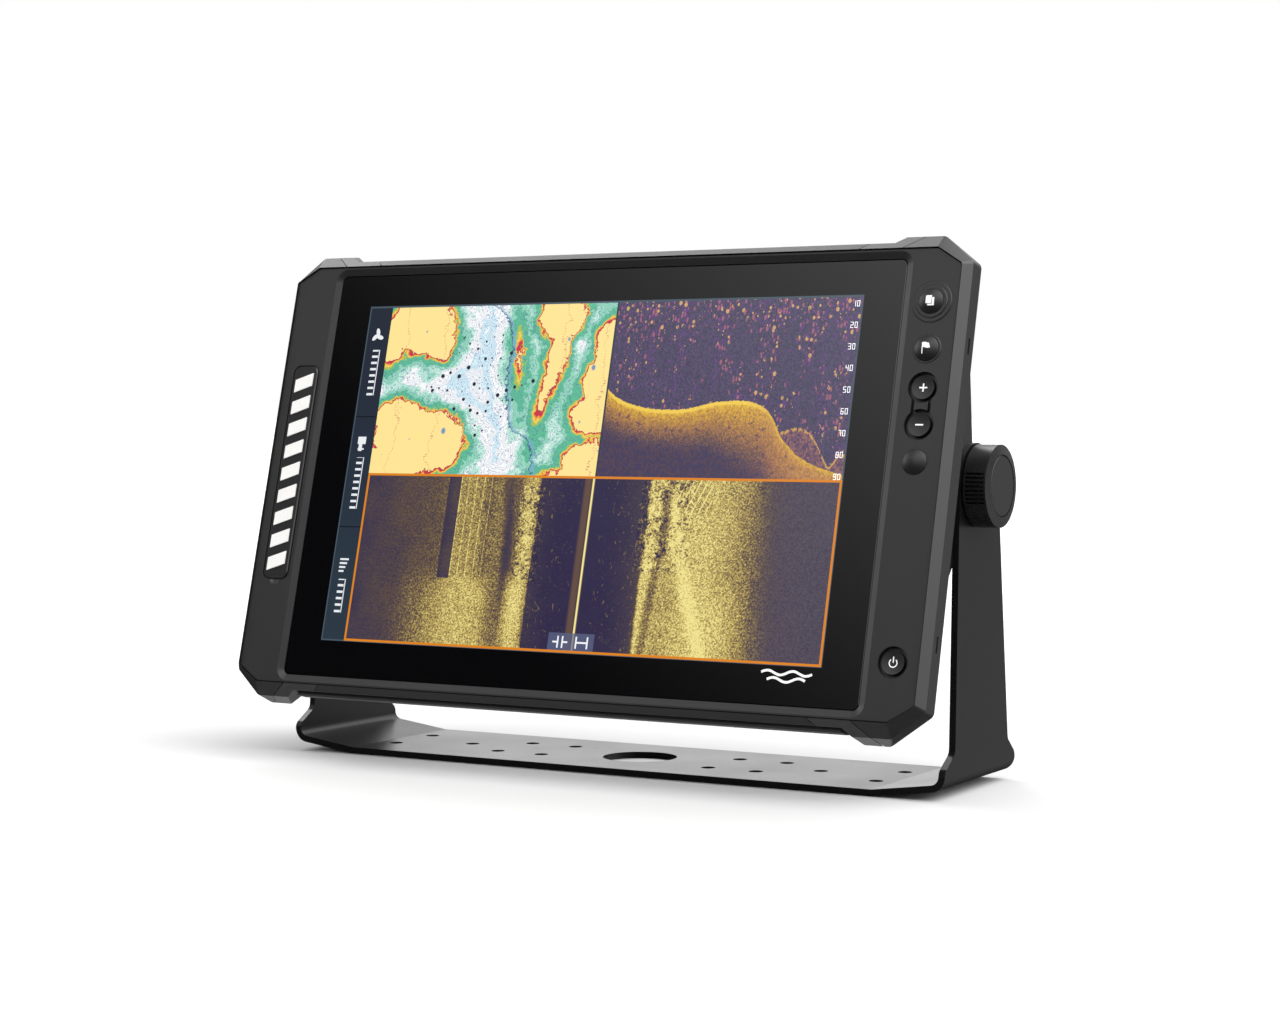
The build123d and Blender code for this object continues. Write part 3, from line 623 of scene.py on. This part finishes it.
def finishes():
    both = ("left", "right")
    coat = moulded("bracket_coat", (0.005, 0.005, 0.0051, 1.0), 0.30, 0.25, 2200.0)
    bezel = moulded("bezel_plastic", (0.012, 0.012, 0.0122, 1.0), 0.42, 0.3, 1500.0)
    trim = moulded("trim_plastic", (0.014, 0.014, 0.0142, 1.0), 0.38, 0.3, 1500.0)
    link = moulded("corner_plastic", (0.026, 0.026, 0.0262, 1.0), 0.36, 0.3, 1500.0)
    cover = moulded("cover_coat", (0.010, 0.010, 0.0102, 1.0), 0.45, 0.6, 1100.0)
    key = moulded("key_plastic", (0.006, 0.006, 0.006, 1.0), 0.42, 0.1, 1800.0)
    rubber = moulded("seal_rubber", (0.02, 0.02, 0.02, 1.0), 0.7)
    knob = moulded("knob_plastic", (0.010, 0.010, 0.010, 1.0), 0.28, 0.25, 1600.0, specular=0.4)
    cap = moulded("cap_plastic", (0.012, 0.012, 0.012, 1.0), 0.38, 0.3, 1500.0)
    nylon = moulded("socket_nylon", (0.018, 0.018, 0.018, 1.0), 0.35)
    badge = moulded("badge_plastic", (0.012, 0.012, 0.013, 1.0), 0.3, 0.1)
    bars = moulded("badge_bars", (0.72, 0.71, 0.69, 1.0), 0.35, 0.1)
    board = moulded("board_mask", (0.02, 0.12, 0.05, 1.0), 0.35)
    white = moulded("white_plastic", (0.8, 0.8, 0.8, 1.0), 0.5)
    amber = moulded("ribbon_film", (0.6, 0.3, 0.06, 1.0), 0.3)
    ceramic = moulded("antenna_ceramic", (0.55, 0.45, 0.33, 1.0), 0.6)
    steel = metal("stainless_steel", (0.62, 0.61, 0.59, 1.0), 0.32)
    brass = metal("brass", (0.78, 0.57, 0.25, 1.0), 0.28)
    tin = metal("tinned_steel", (0.7, 0.7, 0.68, 1.0), 0.35)
    paint(["bracket"], coat)
    paint(["front_frame"], bezel)
    paint(["side_rail_" + side for side in both] + ["rail_top", "rail_bottom"], trim)
    paint(["corner_link_%s_%s" % (level, side) for level in ("top", "bottom") for side in both], link)
    paint(["rear_cover"], cover)
    paint(list(KEY_ROWS), key)
    paint(["glass_seal", "key_mat", "door_seal"], rubber)
    paint(["knob_" + side for side in both], knob)
    paint(["knob_cap_" + side for side in both], cap)
    paint(["power_socket", "sonar_socket", "network_socket", "ethernet_socket", "socket_nuts", "card_door",
           "card_socket", "breather_vent", "buzzer", "key_switches"], nylon)
    paint(["friction_washer_" + side for side in both] + ["thrust_washer_" + side for side in both], nylon)
    paint(["badge_plate"], badge)
    paint(["badge_inlay"], bars)
    paint(["main_board", "keypad_board", "wifi_antenna"], board)
    paint(["backlight"], white)
    paint(["screen_ribbon", "keypad_ribbon"], amber)
    paint(["gps_antenna"], ceramic)
    paint(["case_screws", "door_pin"] + ["knob_stud_" + side for side in both], steel)
    paint(["contact_pins"] + ["pivot_insert_" + side for side in both], brass)
    paint(["shield_cans", "panel_carrier"], tin)
    paint(["lcd_panel", "heat_pad"], rubber)
    paint(["cover_glass"], screen_material())


# ---------------------------------------------------------------- printed marks

def quad_strip(centres, half):
    """Strip of four-sided faces along a line of points; half is its half width."""
    rows = []
    for index, (x, y) in enumerate(centres):
        before = centres[max(index - 1, 0)]
        after = centres[min(index + 1, len(centres) - 1)]
        along = Vector((after[0] - before[0], after[1] - before[1])).normalized()
        rows.append(((x - along.y * half, y + along.x * half), (x + along.y * half, y - along.x * half)))
    return [(a[0], a[1], b[1], b[0]) for a, b in zip(rows, rows[1:])]


def bar(left, right, low, high, parts=6):
    """Rectangle in flat coordinates, cut into strips so that it can follow a curved surface."""
    steps = [left + (right - left) * i / parts for i in range(parts + 1)]
    return [((a, low), (b, low), (b, high), (a, high)) for a, b in zip(steps, steps[1:])]


def key_icon_faces():
    """Flat faces of each key's symbol, in millimetres around the key's centre."""
    ring = [(1.75 * math.sin(a), 1.75 * math.cos(a) - 0.2)
            for a in [math.radians(38 + i * 284 / 36) for i in range(37)]]
    wave = [(-1.5 + 3.2 * i / 8, 1.15 + 0.22 * math.sin(2 * math.pi * i / 8)) for i in range(9)]
    return {
        "page_key": bar(-2.0, 0.75, -1.35, 2.15) + bar(-1.1, 1.9, -2.3, -1.6) + bar(1.0, 1.9, -1.6, 1.25, 2),
        "waypoint_key": quad_strip(wave, 1.15) + bar(-1.65, -1.2, -2.6, 2.3, 2),
        "zoom_in_key": (bar(-1.8, 1.8, -0.33, 0.33) + bar(-0.33, 0.33, 0.33, 1.8, 2)
                        + bar(-0.33, 0.33, -1.8, -0.33, 2)),
        "zoom_out_key": bar(-1.8, 1.8, -0.33, 0.33),
        "power_key": quad_strip(ring, 0.24) + bar(-0.24, 0.24, -0.1, 2.5, 2),
    }


def printed(name, body, faces, place, material, cuts=1):
    """Thin raised print on a moving body: place turns a flat point and a height into a frame point."""
    shape = bmesh.new()
    for face in faces:
        shape.faces.new([shape.verts.new((x, y, 0.0)) for x, y in face])
    bmesh.ops.remove_doubles(shape, verts=shape.verts, dist=0.001)
    bmesh.ops.subdivide_edges(shape, edges=list(shape.edges), cuts=cuts, use_grid_fill=True)
    raised = bmesh.ops.extrude_face_region(shape, geom=list(shape.faces))
    top = [item for item in raised["geom"] if isinstance(item, bmesh.types.BMVert)]
    bmesh.ops.translate(shape, vec=(0, 0, PRINT_HEIGHT), verts=top)
    for vertex in shape.verts:
        vertex.co = place(vertex.co.x, vertex.co.y, vertex.co.z)
    bmesh.ops.recalc_face_normals(shape, faces=shape.faces)
    mesh = bpy.data.meshes.new(name)
    shape.to_mesh(mesh)
    shape.free()
    mesh.materials.append(material)
    piece = bpy.data.objects.new(name, mesh)
    bpy.context.scene.collection.objects.link(piece)
    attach(piece, body)


def key_surface(name):
    """Function that lays a flat point on the domed or dished front of a key."""
    crown, edge, radius = KEY_TOPS[name]

    def place(x, y, height):
        depth = crown + (edge - crown) * (x * x + y * y) / radius ** 2
        return display_point(KEY_U + x, KEY_ROWS[name] + y, depth - height - KEY_PRINT_LIFT)
    return place


def glass_surface(middle_u, middle_v):
    """Function that lays a flat point on the front of the cover glass."""

    def place(x, y, height):
        depth = GLASS_DEPTH - height * GLASS_PRINT_SHARE - GLASS_PRINT_LIFT
        return display_point(middle_u + x, middle_v + y, depth)
    return place


def key_prints(material):
    for name, faces in key_icon_faces().items():
        printed(name + "_print", name, faces, key_surface(name), material, KEY_PRINT_CUTS)


SEGMENTS = {   # strokes of a seven-part numeral
    "0": "abcdef", "1": "bc", "2": "abged", "3": "abgcd", "4": "fgbc", "5": "afgcd", "6": "afgedc",
    "7": "abc", "8": "abcdefg", "9": "abcdfg",
}
STROKES = {    # left, right, bottom and top in a cell one wide and two high
    "a": (0.0, 1.0, 1.8, 2.0), "b": (0.8, 1.0, 1.0, 2.0), "c": (0.8, 1.0, 0.0, 1.0),
    "d": (0.0, 1.0, 0.0, 0.2), "e": (0.0, 0.2, 0.0, 1.0), "f": (0.0, 0.2, 1.0, 2.0),
    "g": (0.0, 1.0, 0.9, 1.1),
}


SCALE_MIDDLE_U = 127.4
SCALE_TOP = 69.3       # height of the first numeral
SCALE_STEP = -9.62
NUMERAL_SIZE = 1.35
NUMERAL_SPACING = 1.45    # of the figures, in widths


def depth_scale(material):
    """Plain numerals 10 to 90 down the right edge of the sonar picture."""
    size = NUMERAL_SIZE
    for index in range(9):
        label = str(10 * (index + 1))
        faces = []
        for column, figure in enumerate(label):
            for stroke in SEGMENTS[figure]:
                left, right, low, high = [size * value for value in STROKES[stroke]]
                shift = (column - 1) * size * NUMERAL_SPACING + 0.2
                faces += bar(left + shift, right + shift, low - size, high - size, 1)
        place = glass_surface(SCALE_MIDDLE_U, SCALE_TOP + index * SCALE_STEP)
        printed("depth_mark_" + label, "display", faces, place, material)


GLASS_MARK_PLACE = (114.5, -94.6)


def glass_mark(material):
    """Plain ornament of two waves below the picture."""
    faces = []
    for row in range(2):
        length = 24.0 - 6.0 * row
        height = 1.5 - 3.0 * row
        line = [(-length / 2 + length * i / 48, height + 0.9 * math.sin(4 * math.pi * i / 48 * length / 24))
                for i in range(49)]
        faces += quad_strip(line, 0.55)
    printed("glass_wave_mark", "display", faces, glass_surface(*GLASS_MARK_PLACE), material)


def prints():
    white = moulded("print_white", (0.78, 0.78, 0.77, 1.0), 0.5, 0.05, 2500.0, 0.06)
    lit = Graph("print_lit")
    shade = lit.noise(lit.place(), 900.0, 2.0)
    glow = lit.mix(shade, (0.7, 0.72, 0.76, 1.0), (0.9, 0.92, 0.95, 1.0))
    lit.set(Base_Color=(0.5, 0.5, 0.5, 1.0), Emission_Color=glow)
    lit.shader.inputs["Emission Strength"].default_value = 0.9
    key_prints(white)
    depth_scale(lit.material)
    glass_mark(white)


studio_world()
floor()
camera()
finishes()
prints()
bpy.context.scene.view_settings.view_transform = "Standard"
